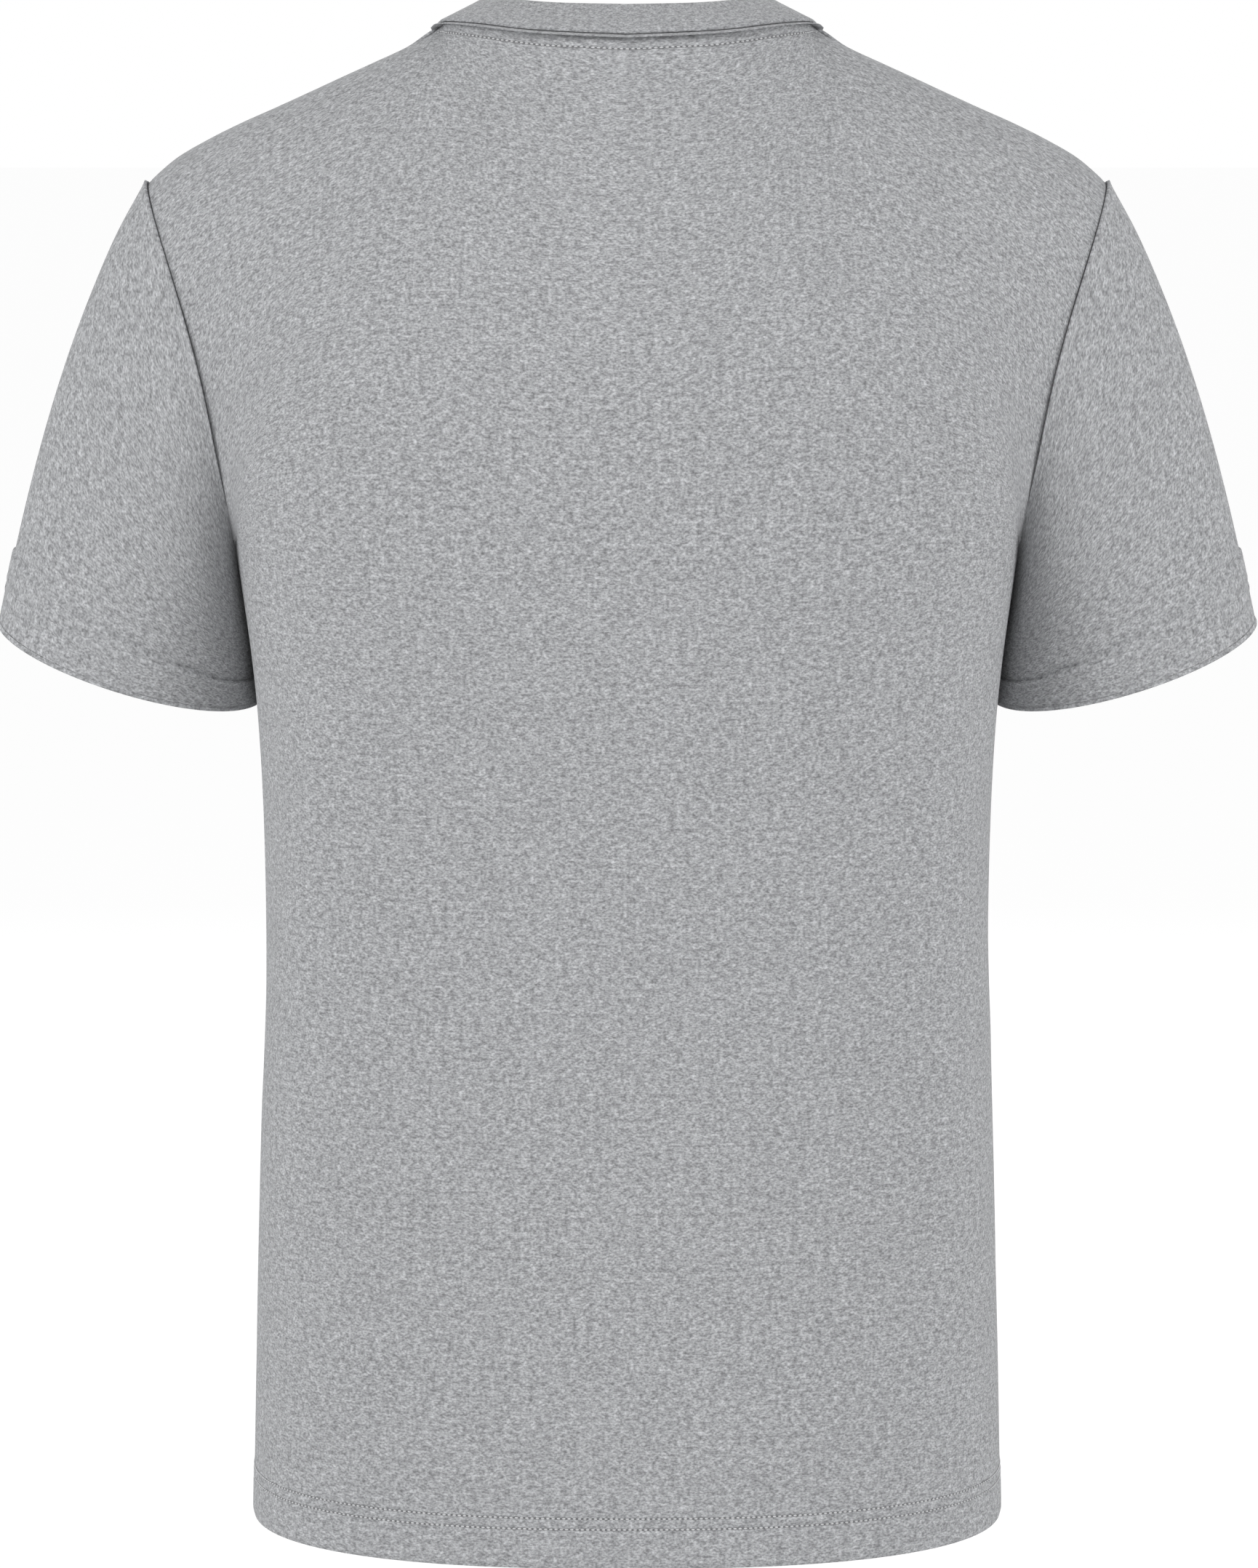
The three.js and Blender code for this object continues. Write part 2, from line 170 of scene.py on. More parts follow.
def resample(points, shares):
    """Points at these shares of a polyline's length."""
    steps = np.linalg.norm(np.diff(points, axis=0), axis=1)
    along = np.concatenate([[0], np.cumsum(steps)]) / steps.sum()
    return np.stack([np.interp(shares, along, points[:, k]) for k in range(3)], axis=-1)


def smooth_line(rows, count=240):
    """A centripetal Catmull-Rom curve through a table's rows, as an even polyline."""
    p = np.array([[row["x"], row["y"], row["z"]] for row in rows], float)
    p = np.vstack([2 * p[0] - p[1], p, 2 * p[-1] - p[-2]])
    out = []
    for a, b, c, d in zip(p[:-3], p[1:-2], p[2:-1], p[3:]):
        ta = 0.0
        tb = ta + np.linalg.norm(b - a) ** 0.5
        tc = tb + np.linalg.norm(c - b) ** 0.5
        td = tc + np.linalg.norm(d - c) ** 0.5
        for t in np.linspace(tb, tc, 24, endpoint=False):
            ab = a * (tb - t) / (tb - ta) + b * (t - ta) / (tb - ta)
            bc = b * (tc - t) / (tc - tb) + c * (t - tb) / (tc - tb)
            cd = c * (td - t) / (td - tc) + d * (t - tc) / (td - tc)
            low = ab * (tc - t) / (tc - ta) + bc * (t - ta) / (tc - ta)
            high = bc * (td - t) / (td - tb) + cd * (t - tb) / (td - tb)
            out.append(low * (tc - t) / (tc - tb) + high * (t - tb) / (tc - tb))
    out.append(p[-2])
    return resample(np.array(out), np.linspace(0, 1, count))


back_neck = smooth_line(BACK_NECK_SEAM)
back_band_top = smooth_line(BACK_BAND_TOP)
shoulder_seam = smooth_line(SHOULDER_SEAM)


def section_at(z):
    """The body's section at height z, by a smooth curve through the table's rows."""
    heights = [row["z"] for row in BODY_SECTIONS]
    last = len(heights) - 1
    k = int(np.clip(np.searchsorted(heights, z) - 1, 0, last - 1))
    span = heights[k + 1] - heights[k]
    t = (z - heights[k]) / span

    def column(name):
        values = [row[name] for row in BODY_SECTIONS]

        def slope(i):
            low, high = max(i - 1, 0), min(i + 1, last)
            return (values[high] - values[low]) / (heights[high] - heights[low]) * span

        after = t * t * (3 - 2 * t)
        bend = slope(k) * t * (1 - t) ** 2 + slope(k + 1) * t * t * (t - 1)
        return values[k] * (1 - after) + values[k + 1] * after + bend

    return {name: column(name) for name in ("half_width", "back", "front", "square")}


def section_points(face, shares, z):
    """Points round a quarter of the section, at shares of its length from the centre."""
    section = section_at(z)
    depth = section["back"] if face > 0 else section["front"]
    angle = np.linspace(0, math.pi / 2, SECTION_STEPS + 1)
    power = 2 / section["square"]
    x = section["half_width"] * np.sin(angle) ** power
    y = face * depth * np.clip(np.cos(angle), 0, 1) ** power
    y[-1] = 0
    return resample(np.stack([x, y, np.full_like(x, z)], axis=1), shares)


def armhole(face, v):
    """The armhole seam, v from 0 at the underarm to 1 at the shoulder seam."""
    top, underarm = SHOULDER_SEAM[-1], BODY_SECTIONS[-1]
    v = np.asarray(v, float)
    rise = (1 - np.cos(math.pi * v)) / 2
    reach = ARMHOLE["back_reach"] if face > 0 else ARMHOLE["front_reach"]
    bow = ARMHOLE["bow"] * np.clip(np.sin(math.pi * rise), 0, 1) ** ARMHOLE["bow_power"]
    x = underarm["half_width"] * (1 - rise) + top["x"] * rise - bow
    y = top["y"] * rise + face * reach * np.sin(math.pi * v)
    z = UNDERARM_Z * (1 - rise) + top["z"] * rise
    return np.stack([x, y, z], axis=-1)


def top_edge(face, shares):
    """A panel's top edge: the neckline, then the shoulder seam."""
    neck = shares / NECK_SHARE
    if face > 0:
        neck_points = resample(back_neck, np.clip(neck, 0, 1))
    else:
        neck_points = hermite(FRONT_NECK_SEAM, 1 - np.clip(neck, 0, 1))
    rest = np.clip((shares - NECK_SHARE) / (1 - NECK_SHARE), 0, 1)
    on_shoulder = (shares > NECK_SHARE)[:, None]
    return np.where(on_shoulder, resample(shoulder_seam, rest), neck_points)


def yoke_row(face, shares, v):
    """One row of the yoke, between the underarm, the armhole, the top edge and the centre."""

    def roll(start, end):
        turn = v * math.pi / 2
        blend = np.array([v, 1 - math.cos(turn), math.sin(turn)])
        return start * (1 - blend) + end * blend

    centre = CENTRE_BACK if face > 0 else CENTRE_FRONT
    centre_shift = hermite(centre, v) - roll(np.array(centre[0]), np.array(centre[2]))
    side_shift = armhole(face, v) - roll(armhole(face, 0), armhole(face, 1))
    low = section_points(face, shares, UNDERARM_Z)
    u = shares[:, None]
    return roll(low, top_edge(face, shares)) + centre_shift * (1 - u) + side_shift * u**3


def panel_grid(face):
    """Rows from the hem to the top, each from the wearer's right to the left."""
    shares = np.arange(HALF_COLUMNS + 1) / HALF_COLUMNS
    fold_top = HEM_Z + HEM_FOLD
    heights = [HEM_Z, HEM_Z + HEM_FOLD / 2, fold_top]
    heights += [fold_top + (UNDERARM_Z - fold_top) * k / BODY_ROWS for k in range(1, BODY_ROWS + 1)]
    halves = [section_points(face, shares, z) for z in heights]
    halves += [yoke_row(face, shares, k / YOKE_ROWS) for k in range(1, YOKE_ROWS + 1)]
    half = np.array(halves)
    half[:, 0, 0] = 0
    mirrored = half[:, :0:-1] * np.array([-1, 1, 1])
    return np.concatenate([mirrored, half], axis=1)


def settle(back, front):
    """The back yoke's cloth settles where it bends least, as one with the front."""
    top = back.shape[0] - 1
    low = top - YOKE_ROWS
    columns = back.shape[1]
    neck = abs(np.arange(columns) - HALF_COLUMNS) < round(HALF_COLUMNS * NECK_SHARE)
    for _ in range(SETTLE_PASSES):
        tall = np.concatenate([back, front[top - 1 : top]])
        bend = np.zeros_like(tall)
        around = tall[low - 1 : top, 1:-1] + tall[low + 1 : top + 2, 1:-1]
        around = around + tall[low : top + 1, :-2] + tall[low : top + 1, 2:]
        bend[low : top + 1, 1:-1] = around / 4 - tall[low : top + 1, 1:-1]
        bend[top, neck] = 0
        inner = bend[low + 1 : top, 2:-2]
        mean = bend[low : top - 1, 2:-2] + bend[low + 2 : top + 1, 2:-2]
        mean = (mean + bend[low + 1 : top, 1:-3] + bend[low + 1 : top, 3:-1]) / 4
        back[low + 1 : top, 2:-2] -= SETTLE_STEP * (mean - inner)


def sleeve_grid(side):
    """Rings from the armhole to the cuff, from the underarm up the back and down the front."""
    count = 2 * YOKE_ROWS
    shares = [CUFF_SHARE * k / SLEEVE_ROWS for k in range(SLEEVE_ROWS + 1)] + [CUFF_MIDDLE, 1.0]
    grid = np.zeros((len(shares), count, 3))
    for k in range(count):
        face = 1 if k <= YOKE_ROWS else -1
        v = k / YOKE_ROWS if face > 0 else (count - k) / YOKE_ROWS
        angle = math.pi * v
        end = np.array(CUFF["centre"]) - np.array(CUFF["outward"]) * math.cos(angle)
        end = end + np.array(CUFF["backward"]) * face * math.sin(angle)

        def pull(name):
            low, mid, high = (np.array(SLEEVE_RUN[r][name], float) for r in SLEEVE_RUN)
            ends = low + (high - low) * (1 - math.cos(angle)) / 2
            return ends + (mid - (low + high) / 2) * math.sin(angle) ** 2

        curve = (armhole(face, v), pull("leave"), end, pull("arrive"))
        grid[:, k] = hermite(curve, np.array(shares))
    grid[..., 0] *= side
    return grid


def band_edges():
    """The neckband's seam and its folded edge, as rings from the centre back."""
    quarter = round(HALF_COLUMNS * NECK_SHARE) * 4
    share = np.arange(quarter) / quarter
    front_share = np.arange(quarter + 1) / quarter
    rings = []
    for line, curve in ((back_neck, FRONT_NECK_SEAM), (back_band_top, FRONT_BAND_TOP)):
        half = np.vstack([resample(line, share), hermite(curve, front_share)])
        rings.append(np.vstack([half, half[-2:0:-1] * np.array([-1, 1, 1])]))
    return rings


def cubic_weights(positions, count, wraps):
    """Indices and weights of a Catmull-Rom curve through count points, at these positions."""
    base = np.floor(positions).astype(int)
    if not wraps:
        base = np.clip(base, 0, count - 2)
    t = positions - base
    weights = 0.5 * np.stack(
        [-t + 2 * t**2 - t**3, 2 - 5 * t**2 + 3 * t**3, t + 4 * t**2 - 3 * t**3, t**3 - t**2]
    )
    return base, weights


def evaluate(grid, rows, columns, wraps):
    """The smooth surface through a grid, at these row and column positions."""

    def along(data, positions, wrap):
        count = len(data)
        base, weights = cubic_weights(positions, count, wrap)
        if wrap:
            picked = [data[(base + k) % count] for k in (-1, 0, 1, 2)]
        else:
            before = 2 * data[0] - data[1]
            after = 2 * data[-1] - data[-2]
            padded = np.concatenate([before[None], data, after[None]])
            picked = [padded[base + 1 + k] for k in (-1, 0, 1, 2)]
        shape = (-1,) + (1,) * (data.ndim - 1)
        return sum(w.reshape(shape) * p for w, p in zip(weights, picked))

    partly = along(grid, np.asarray(rows, float), False)
    return along(partly.swapaxes(0, 1), np.asarray(columns, float), wraps).swapaxes(0, 1)


def fine_positions(count, factor, tight_start, tight_end):
    """Even positions over a grid's rows or columns, closer together at a sewn edge."""
    positions = np.linspace(0, count - 1, (count - 1) * factor + 1)
    close = np.array([0.03, 0.07, 0.12])
    extra = [close] if tight_start else []
    extra += [count - 1 - close] if tight_end else []
    return np.unique(np.round(np.concatenate([positions, *extra]), 6))


def normals_of(points, wraps, flip):
    if wraps:
        across = np.roll(points, -1, axis=1) - np.roll(points, 1, axis=1)
    else:
        across = np.gradient(points, axis=1)
    normal = np.cross(across, np.gradient(points, axis=0))
    normal /= np.maximum(np.linalg.norm(normal, axis=-1, keepdims=True), 1e-9)
    return -normal if flip else normal


def lengths_along(points, axis):
    """Each point's distance from the first, along the cloth."""
    steps = np.linalg.norm(np.diff(points, axis=axis), axis=-1)
    pad = [(1, 0) if k == axis else (0, 0) for k in range(2)]
    return np.cumsum(np.pad(steps, pad), axis=axis)


def sheet_mesh(name, points, wraps, flip, thick, material):
    """A one-sided grid as a mesh in metres, with arc-length UVs and a wall made by Solidify."""
    rows, columns = points.shape[:2]
    index = np.arange(rows * columns).reshape(rows, columns)
    following = np.roll(index, -1, axis=1) if wraps else index[:, 1:]
    here = index if wraps else index[:, :-1]
    quads = np.stack([here[:-1], following[:-1], following[1:], here[1:]], axis=-1).reshape(-1, 4)
    across = np.mean(lengths_along(points, 1), axis=0)
    up = np.mean(lengths_along(points, 0), axis=1)
    u = np.concatenate([across, [across[-1] + across[1]]]) * MM
    columns_of = np.tile(np.arange(columns), rows)
    corner_u = u[columns_of[quads]]
    if wraps:
        seam = (columns_of[quads] == 0) & (columns_of[quads][:, [0]] == columns - 1)
        corner_u = np.where(seam, u[-1], corner_u)
    corner_v = (np.repeat(up, columns) * MM)[quads]
    if flip:
        quads, corner_u, corner_v = quads[:, ::-1], corner_u[:, ::-1], corner_v[:, ::-1]
    mesh = bpy.data.meshes.new(name)
    mesh.from_pydata((points.reshape(-1, 3) * MM).tolist(), [], quads.tolist())
    layer = mesh.uv_layers.new(name="cloth")
    layer.data.foreach_set("uv", np.stack([corner_u, corner_v], axis=-1).ravel())
    mesh.polygons.foreach_set("use_smooth", [True] * len(mesh.polygons))
    mesh.materials.append(material)
    piece = bpy.data.objects.new(name, mesh)
    bpy.context.scene.collection.objects.link(piece)
    group = piece.vertex_groups.new(name="wall")
    share = np.repeat(thick, columns) / TURNED_UP
    for value in np.unique(share):
        group.add(np.nonzero(share == value)[0].tolist(), float(value), "REPLACE")
    solid = piece.modifiers.new("wall", "SOLIDIFY")
    solid.thickness = TURNED_UP * MM
    solid.offset = -1
    solid.vertex_group = "wall"
    return piece


def fold_height(face, points):
    """How far the body's soft folds stand out at these points."""
    x, z = points[..., 0], points[..., 2]
    total = np.zeros_like(x)
    for fold in FOLDS:
        if fold["face"] != face:
            continue
        share = np.clip((fold["top"] - z) / (fold["top"] - fold["low"]), 0, 1)
        middle = np.interp(share, [0, 0.5, 1], [fold["x_top"], fold["x_mid"], fold["x_low"]])
        across = np.exp(-(((x - middle) / fold["width"]) ** 2))
        total += fold["height"] * across * np.sin(math.pi * share) ** 0.8
    return total


def dip(distance):
    """Cloth draws in a little at a seam."""
    return -SEAM_DIP * np.exp(-((distance / SEAM_REACH) ** 2))


def hem_roll(distance):
    """A turned-up hem stands out a little, draws in at its needle rows and rounds its edge."""
    low, high = NEEDLE_ROWS
    out = 0.5 / (1 + np.exp((distance - high - 1.0) / 0.8))
    rows = -0.45 * np.exp(-(((distance - low) / 1.3) ** 2))
    rows = rows - 0.45 * np.exp(-(((distance - high) / 1.3) ** 2))
    edge = -0.7 * np.exp(-((distance / 1.5) ** 2))
    return out + rows + edge


# ---------------------------------------------------------------- materials


def add(tree, kind, **settings):
    node = tree.nodes.new(kind)
    for name, value in settings.items():
        setattr(node, name, value)
    return node


def heather_material(name, mid, stretch, contrast):
    """Mottled grey yarn: light and dark fibres a few tenths of a millimetre across, soft
    clouds a few millimetres across, and a nap that catches light at grazing angles."""
    material = bpy.data.materials.new(name)
    material.use_nodes = True
    tree = material.node_tree
    link = tree.links.new
    shader = tree.nodes["Principled BSDF"]
    uv = add(tree, "ShaderNodeUVMap", uv_map="cloth")
    flat = add(tree, "ShaderNodeMapping")
    flat.inputs["Scale"].default_value = (1 / stretch, 1, 1)
    link(uv.outputs["UV"], flat.inputs["Vector"])

    def noise(scale, detail):
        node = add(tree, "ShaderNodeTexNoise", noise_dimensions="2D")
        node.inputs["Scale"].default_value = scale
        node.inputs["Detail"].default_value = detail
        node.inputs["Roughness"].default_value = 0.6
        link(flat.outputs["Vector"], node.inputs["Vector"])
        return node

    fibres = noise(1100, 1.0)
    tufts = noise(420, 2.0)
    clouds = noise(60, 2.0)

    def spread(source, low, high, out_low, out_high):
        node = add(tree, "ShaderNodeMapRange")
        node.inputs["From Min"].default_value = low
        node.inputs["From Max"].default_value = high
        node.inputs["To Min"].default_value = out_low
        node.inputs["To Max"].default_value = out_high
        link(source, node.inputs["Value"])
        return node

    def times(a, b):
        node = add(tree, "ShaderNodeMath", operation="MULTIPLY")
        link(a, node.inputs[0])
        link(b, node.inputs[1])
        return node

    fine = spread(fibres.outputs["Fac"], 0.25, 0.75, 1 - 0.34 * contrast, 1 + 0.34 * contrast)
    tuft = spread(tufts.outputs["Fac"], 0.25, 0.75, 1 - 0.3 * contrast, 1 + 0.3 * contrast)
    cloud = spread(clouds.outputs["Fac"], 0.3, 0.7, 1 - 0.03 * contrast, 1 + 0.03 * contrast)
    mottle = times(fine.outputs["Result"], tuft.outputs["Result"])
    shade = times(mottle.outputs[0], cloud.outputs["Result"])
    tint = add(tree, "ShaderNodeVectorMath", operation="SCALE")
    tint.inputs[0].default_value = (mid * 0.985, mid, mid * 1.03)
    link(shade.outputs[0], tint.inputs["Scale"])
    link(tint.outputs["Vector"], shader.inputs["Base Color"])
    shader.inputs["Roughness"].default_value = 0.95
    shader.inputs["Specular IOR Level"].default_value = 0.15
    shader.inputs["Sheen Weight"].default_value = 0.12
    shader.inputs["Sheen Roughness"].default_value = 0.5
    relief = add(tree, "ShaderNodeBump")
    relief.inputs["Strength"].default_value = 0.35
    relief.inputs["Distance"].default_value = 0.0004
    link(times(fine.outputs["Result"], tuft.outputs["Result"]).outputs[0], relief.inputs["Height"])
    link(relief.outputs["Normal"], shader.inputs["Normal"])
    return material


def plain_material(name, colour, amount):
    """One colour that wanders a little along the yarn, for spun thread; also used for the painted
    shade in the groove under the stitches.
    """
    material = bpy.data.materials.new(name)
    material.use_nodes = True
    tree = material.node_tree
    shader = tree.nodes["Principled BSDF"]
    place = add(tree, "ShaderNodeTexCoord")
    noise = add(tree, "ShaderNodeTexNoise")
    noise.inputs["Scale"].default_value = 700
    ramp = add(tree, "ShaderNodeMapRange")
    ramp.inputs["To Min"].default_value = 1 - amount
    ramp.inputs["To Max"].default_value = 1 + amount
    tint = add(tree, "ShaderNodeVectorMath", operation="SCALE")
    tint.inputs[0].default_value = colour
    tree.links.new(place.outputs["Object"], noise.inputs["Vector"])
    tree.links.new(noise.outputs["Fac"], ramp.inputs["Value"])
    tree.links.new(ramp.outputs["Result"], tint.inputs["Scale"])
    tree.links.new(tint.outputs["Vector"], shader.inputs["Base Color"])
    shader.inputs["Roughness"].default_value = 0.8
    return material


jersey = heather_material("heather_jersey", HEATHER_MID, 1.7, 1.0)
band_knit = heather_material("heather_band", HEATHER_MID * 0.97, 1.3, 0.9)
thread = plain_material("stitch_thread", THREAD, 0.25)
# The dark material under the stitches is painted shade of their groove.
groove_shade = plain_material("stitch_groove_shade", PAINTED_GROOVE_SHADE, 0.3)


# ---------------------------------------------------------------- stitches


def stitch_row(name, line, normals, spacing, closed):
    """A row of lockstitches on a line over the cloth: light threads, each over a dark strip that
    paints the shade of the groove it sinks into.
    """
    if closed:
        line = np.vstack([line, line[:1]])
        normals = np.vstack([normals, normals[:1]])
    steps = np.linalg.norm(np.diff(line, axis=0), axis=1)
    count = int(steps.sum() / spacing)
    shares = (np.arange(count) + 0.5) / count
    centres = resample(line, shares)
    along = resample(line, np.clip(shares + 0.2 / count, 0, 1)) - centres
    along /= np.linalg.norm(along, axis=1, keepdims=True)
    track = np.concatenate([[0], np.cumsum(steps)]) / steps.sum()
    up = np.stack([np.interp(shares, track, normals[:, k]) for k in range(3)], axis=1)
    up /= np.linalg.norm(up, axis=1, keepdims=True)
    side = np.cross(up, along)
    vertices, faces, kinds = [], [], []
    ring = [(math.cos(a), math.sin(a)) for a in np.linspace(0, 2 * math.pi, 7)[:-1]]
    half = spacing * 0.36
    for centre, a, s, n in zip(centres, along, side, up):
        base = len(vertices)
        vertices.append(centre - a * half)
        for place, size in ((-0.6, 0.8), (0.0, 1.0), (0.6, 0.8)):
            for c, w in ring:
                outline = s * c * 0.42 + n * (w * 0.28 + 0.22)
                vertices.append(centre + a * half * place + size * outline)
        vertices.append(centre + a * half)
        last = len(vertices) - 1
        for k in range(6):
            nxt = (k + 1) % 6
            faces.append((base, base + 1 + nxt, base + 1 + k))
            for r in (0, 1):
                low, high = base + 1 + 6 * r, base + 7 + 6 * r
                faces.append((low + k, low + nxt, high + nxt, high + k))
            faces.append((last, base + 13 + k, base + 13 + nxt))
        kinds += [0] * 24
    # Under each stitch a flat dark strip: painted shade of the groove, not part of the cloth.
    for centre, a, s, n in zip(centres, along, side, up):
        base = len(vertices)
        reach = spacing * 0.5
        for sign, wide in ((-1, -0.5), (-1, 0.5), (1, 0.5), (1, -0.5)):
            vertices.append(centre + a * reach * sign + s * wide + n * 0.08)
        faces.append((base, base + 3, base + 2, base + 1))
        kinds.append(1)
    mesh = bpy.data.meshes.new(name)
    mesh.from_pydata((np.array(vertices) * MM).tolist(), [], faces)
    mesh.materials.append(thread)
    mesh.materials.append(groove_shade)
    mesh.polygons.foreach_set("material_index", kinds)
    mesh.polygons.foreach_set("use_smooth", [True] * len(faces))
    piece = bpy.data.objects.new(name, mesh)
    bpy.context.scene.collection.objects.link(piece)
    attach(piece, "root")
    return piece


def row_at(points, distances, wanted, normals):
    """The line that lies a wanted distance from the first row, in every column."""
    line, up = [], []
    for j in range(points.shape[1]):
        line.append([np.interp(wanted, distances[:, j], points[:, j, k]) for k in range(3)])
        up.append([np.interp(wanted, distances[:, j], normals[:, j, k]) for k in range(3)])
    return np.array(line), np.array(up)


# ---------------------------------------------------------------- pieces


def make_panel(name, face, grid):
    rows = fine_positions(grid.shape[0], FINE, False, True)
    hem_rows = np.linspace(0, 2.4, 40)
    rows = np.unique(np.round(np.concatenate([rows, hem_rows]), 6))
    columns = fine_positions(grid.shape[1], FINE, True, True)
    points = evaluate(grid, rows, columns, False)
    normals = normals_of(points, False, face > 0)
    from_hem = lengths_along(points, 0)
    from_top = from_hem[-1] - from_hem
    across = lengths_along(points, 1)
    from_side = np.minimum(across, across[:, -1:] - across)
    height = fold_height(face, points) * np.clip(from_side / 8, 0, 1)
    above = points[..., 2] > UNDERARM_Z - 1
    height = height + np.where(above, dip(from_side), 0.6 * dip(from_side))
    on_neck = abs(columns - HALF_COLUMNS) <= HALF_COLUMNS * NECK_SHARE
    height = height + dip(from_top) * np.where(on_neck, 1.0, 0.6)[None, :]
    height = height + 0.35 * np.exp(-(((from_top - 4.5) / 2.2) ** 2)) * on_neck[None, :]
    height = height + hem_roll(from_hem)
    points = points + normals * height[..., None]
    thick = np.where(np.mean(from_hem, axis=1) <= NEEDLE_ROWS[1] + 0.5, TURNED_UP, CLOTH)
    piece = sheet_mesh(f"{name}_cloth", points, False, face > 0, thick, jersey)
    for k, wanted in enumerate(NEEDLE_ROWS):
        line, up = row_at(points, from_hem, wanted, normals)
        stitch_row(f"{name}_hem_stitches_{k + 1}", line, up, HEM_STITCH, False)
    line, up = row_at(points[::-1], from_top[::-1], TOPSTITCH, normals[::-1])
    line, up = line[on_neck], up[on_neck]
    stitch_row(f"{name}_neck_topstitch", line, up, NECK_STITCH, False)
    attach(piece, "root")
    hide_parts(name)
    return piece


def make_sleeve(name, side):
    grid = sleeve_grid(side)
    rows = fine_positions(grid.shape[0], FINE, True, False)
    last = grid.shape[0] - 1
    rows = np.unique(np.round(np.concatenate([rows, np.linspace(last - 2.2, last, 40)]), 6))
    columns = np.arange(grid.shape[1] * FINE) / FINE
    points = evaluate(grid, rows, columns, True)
    normals = normals_of(points, True, side > 0)
    from_head = lengths_along(points, 0)
    from_cuff = from_head[-1] - from_head
    round_arm = 2 * math.pi * columns / grid.shape[1]
    ease = 0.5 * np.cos(5 * round_arm + side)[None, :] * np.exp(-(((from_head - 28) / 22) ** 2))
    under = np.exp(-((np.minimum(round_arm, 2 * math.pi - round_arm) / 0.25) ** 2))[None, :]
    height = dip(from_head) + hem_roll(from_cuff) + ease - 0.5 * under
    points = points + normals * height[..., None]
    thick = np.where(np.mean(from_cuff, axis=1) <= NEEDLE_ROWS[1] + 0.5, TURNED_UP, CLOTH)
    piece = sheet_mesh(f"{name}_cloth", points, True, side > 0, thick, jersey)
    for k, wanted in enumerate(NEEDLE_ROWS):
        line, up = row_at(points[::-1], from_cuff[::-1], wanted, normals[::-1])
        stitch_row(f"{name}_cuff_stitches_{k + 1}", line, up, HEM_STITCH, True)
    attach(piece, "root")
    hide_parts(name)
    return piece


def make_neckband():
    """The band is folded double over its edge. Its normals point into the shirt, so the
    band's wall lies outside the surface that its two edges span."""
    seam, top = band_edges()
    outward = np.roll(seam, -1, axis=0) - np.roll(seam, 1, axis=0)
    normals = np.cross(outward, top - seam)
    normals /= np.linalg.norm(normals, axis=1, keepdims=True)
    point = round(HALF_COLUMNS * NECK_SHARE) * 8
    normals[point] = normals[point - 1] + normals[point + 1]
    normals[point] /= np.linalg.norm(normals[point])
    up = (top - seam) / np.linalg.norm(top - seam, axis=1, keepdims=True)
    rows = [seam - up * TUCK * 2 - normals * TUCK, seam - up * 0.3 - normals * 0.7]
    for share in (0, 0.02, 0.06, 0.12, 0.25, 0.4, 0.55, 0.7, 0.82, 0.9, 0.95):
        puff = 0.5 * math.sin(math.pi * share) ** 0.5
        ease = -SEAM_DIP * math.exp(-((share * 20 / SEAM_REACH) ** 2))
        rows.append(seam + (top - seam) * share + normals * (puff + ease))
    rim = seam + (top - seam) * 0.95 - normals * (RIB / 2 - 0.2)
    for angle in (70, 45, 15, -15, -45, -70):
        turn = math.radians(angle)
        rows.append(rim + (normals * math.sin(turn) + up * math.cos(turn)) * RIB / 2)
    for share in (0.95, 0.8, 0.6, 0.4, 0.2, 0.05):
        rows.append(seam + (top - seam) * share - normals * RIB)
    rows.append(seam + normals * -RIB * 0.6)
    points = np.array(rows)
    piece = sheet_mesh("neckband_knit", points, True, False, np.full(len(rows), 0.4), band_knit)
    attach(piece, "root")
    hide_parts("neckband")
    return piece


back_grid = panel_grid(1)
front_grid = panel_grid(-1)
settle(back_grid, front_grid)
make_panel("back", 1, back_grid)
make_panel("front", -1, front_grid)
make_sleeve("sleeve_left", 1)
make_sleeve("sleeve_right", -1)
make_neckband()


# ---------------------------------------------------------------- stage, lights, camera


def light(name, place, target, size, power):
    data = bpy.data.lights.new(name, "AREA")
    data.shape = "RECTANGLE"
    data.size, data.size_y = size
    data.energy = power
    lamp = bpy.data.objects.new(name, data)
    lamp.location = place
    lamp.rotation_euler = (Vector(target) - Vector(place)).to_track_quat("-Z", "Y").to_euler()
    bpy.context.scene.collection.objects.link(lamp)


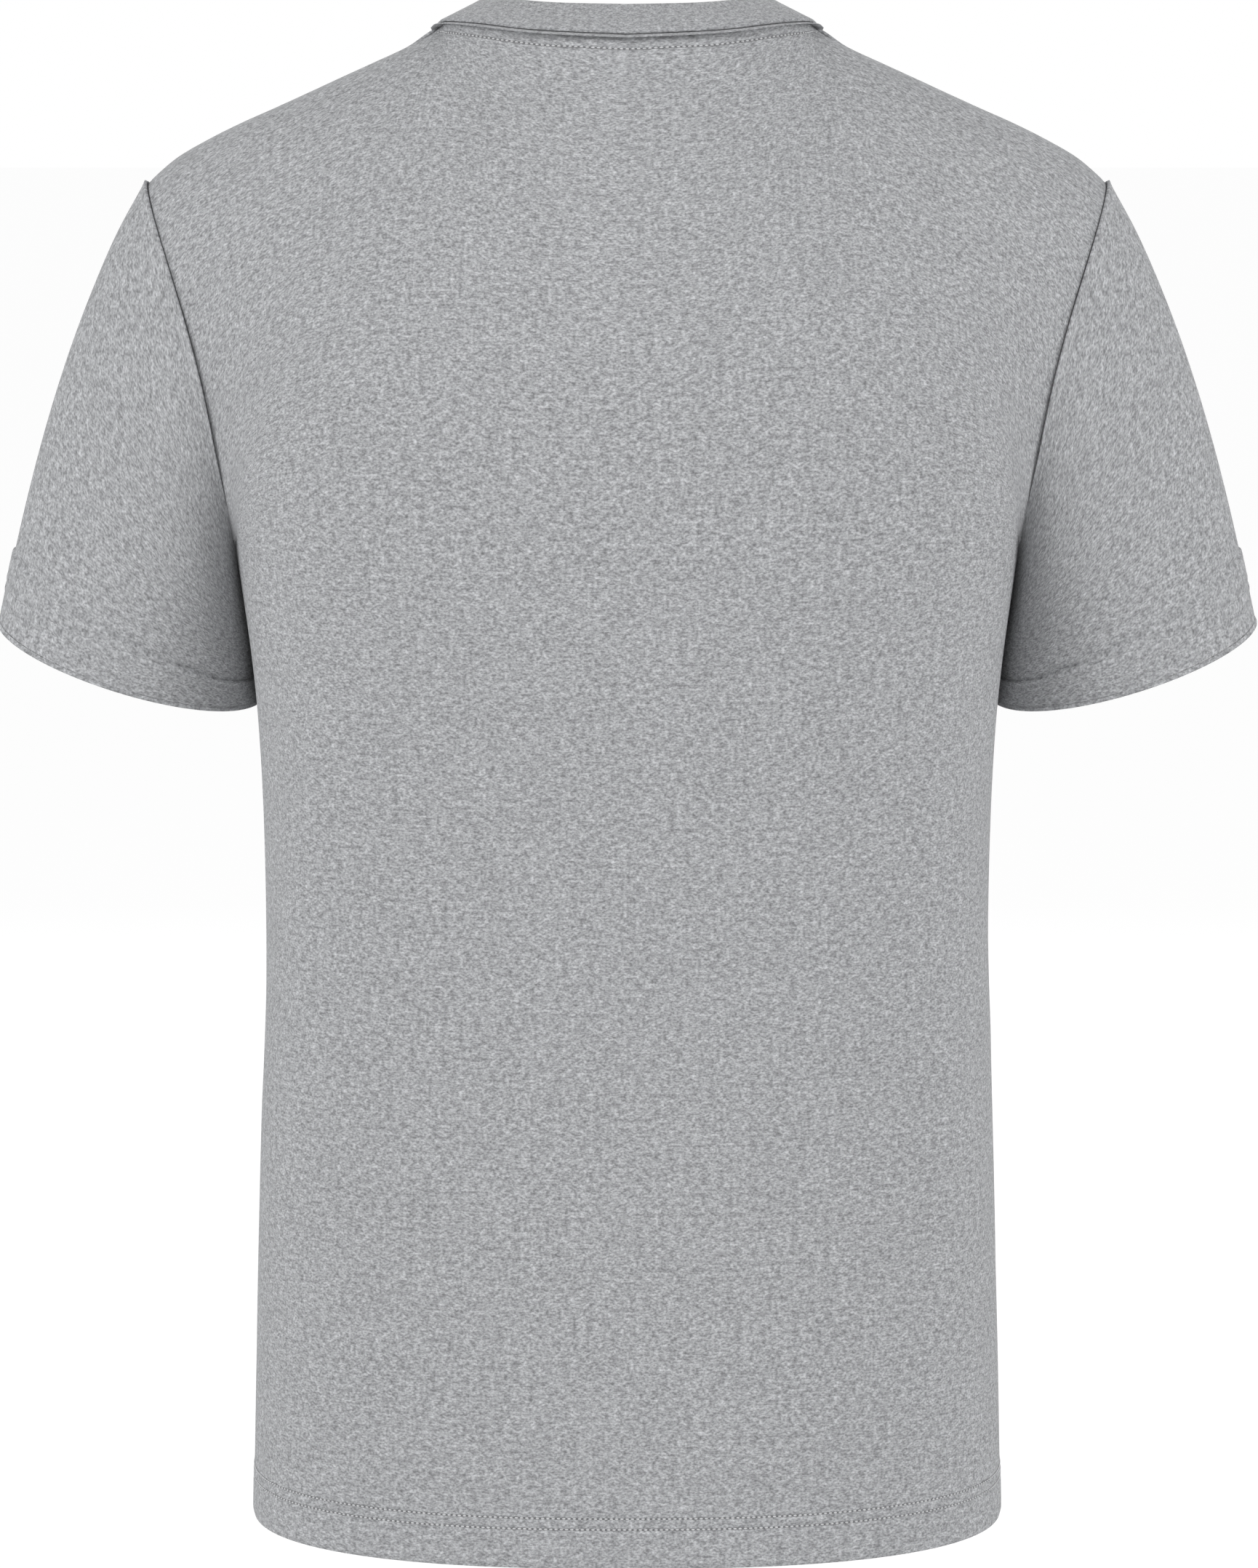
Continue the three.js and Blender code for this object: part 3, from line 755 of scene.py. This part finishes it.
def make_stage():
    """A plain pale floor below the shirt, and white all round it for the camera alone."""
    material = bpy.data.materials.new("pale_floor")
    material.use_nodes = True
    tree = material.node_tree
    shader = tree.nodes["Principled BSDF"]
    shader.inputs["Base Color"].default_value = (0.86, 0.86, 0.86, 1)
    shader.inputs["Roughness"].default_value = 0.9
    glow = add(tree, "ShaderNodeEmission")
    glow.inputs["Color"].default_value = (1, 1, 1, 1)
    glow.inputs["Strength"].default_value = FLOOR_GLOW
    mix = add(tree, "ShaderNodeMixShader")
    path = add(tree, "ShaderNodeLightPath")
    part = add(tree, "ShaderNodeMath", operation="MULTIPLY")
    part.inputs[1].default_value = FLOOR_WHITE
    tree.links.new(path.outputs["Is Camera Ray"], part.inputs[0])
    tree.links.new(part.outputs[0], mix.inputs[0])
    tree.links.new(shader.outputs["BSDF"], mix.inputs[1])
    tree.links.new(glow.outputs["Emission"], mix.inputs[2])
    tree.links.new(mix.outputs["Shader"], tree.nodes["Material Output"].inputs["Surface"])
    bpy.ops.mesh.primitive_plane_add(size=60, location=(0, 0, cad_box[0][2] - FLOOR_DROP))
    floor = bpy.context.object
    floor.name = "floor"
    floor.data.materials.append(material)

    world = bpy.data.worlds.new("studio")
    world.use_nodes = True
    bpy.context.scene.world = world
    tree = world.node_tree
    soft = tree.nodes["Background"]
    soft.inputs["Color"].default_value = (1, 1, 1, 1)
    soft.inputs["Strength"].default_value = AMBIENT
    seen = add(tree, "ShaderNodeBackground")
    seen.inputs["Color"].default_value = (1, 1, 1, 1)
    path = add(tree, "ShaderNodeLightPath")
    mix = add(tree, "ShaderNodeMixShader")
    tree.links.new(path.outputs["Is Camera Ray"], mix.inputs[0])
    tree.links.new(soft.outputs[0], mix.inputs[1])
    tree.links.new(seen.outputs[0], mix.inputs[2])
    tree.links.new(mix.outputs[0], tree.nodes["World Output"].inputs["Surface"])


def make_camera():
    """About 3 m behind the shirt at shoulder height, looking at its middle."""
    data = bpy.data.cameras.new("camera")
    data.sensor_width = 36
    data.lens = 144.64
    data.shift_x = 0.00116
    data.clip_end = 100
    camera = bpy.data.objects.new("camera", data)
    camera.location = (0, 3.05, 0.026)
    aim = Vector((0, 0, -0.366)) - camera.location
    camera.rotation_euler = aim.to_track_quat("-Z", "Y").to_euler()
    bpy.context.scene.collection.objects.link(camera)
    bpy.context.scene.camera = camera


make_stage()
light("left_softbox", (2.6, 1.6, 0.5), (0, 0, -0.4), (1.6, 2.4), 50)
light("right_softbox", (-2.6, 1.6, 0.5), (0, 0, -0.4), (1.6, 2.4), 46)
light("top_softbox", (0, 1.2, 2.4), (0, 0, -0.3), (2.4, 1.6), 18)
light("front_softbox", (0, -3.0, 0.8), (0, 0, -0.4), (2.4, 2.0), 35)
make_camera()
bpy.context.scene.view_settings.view_transform = "Standard"
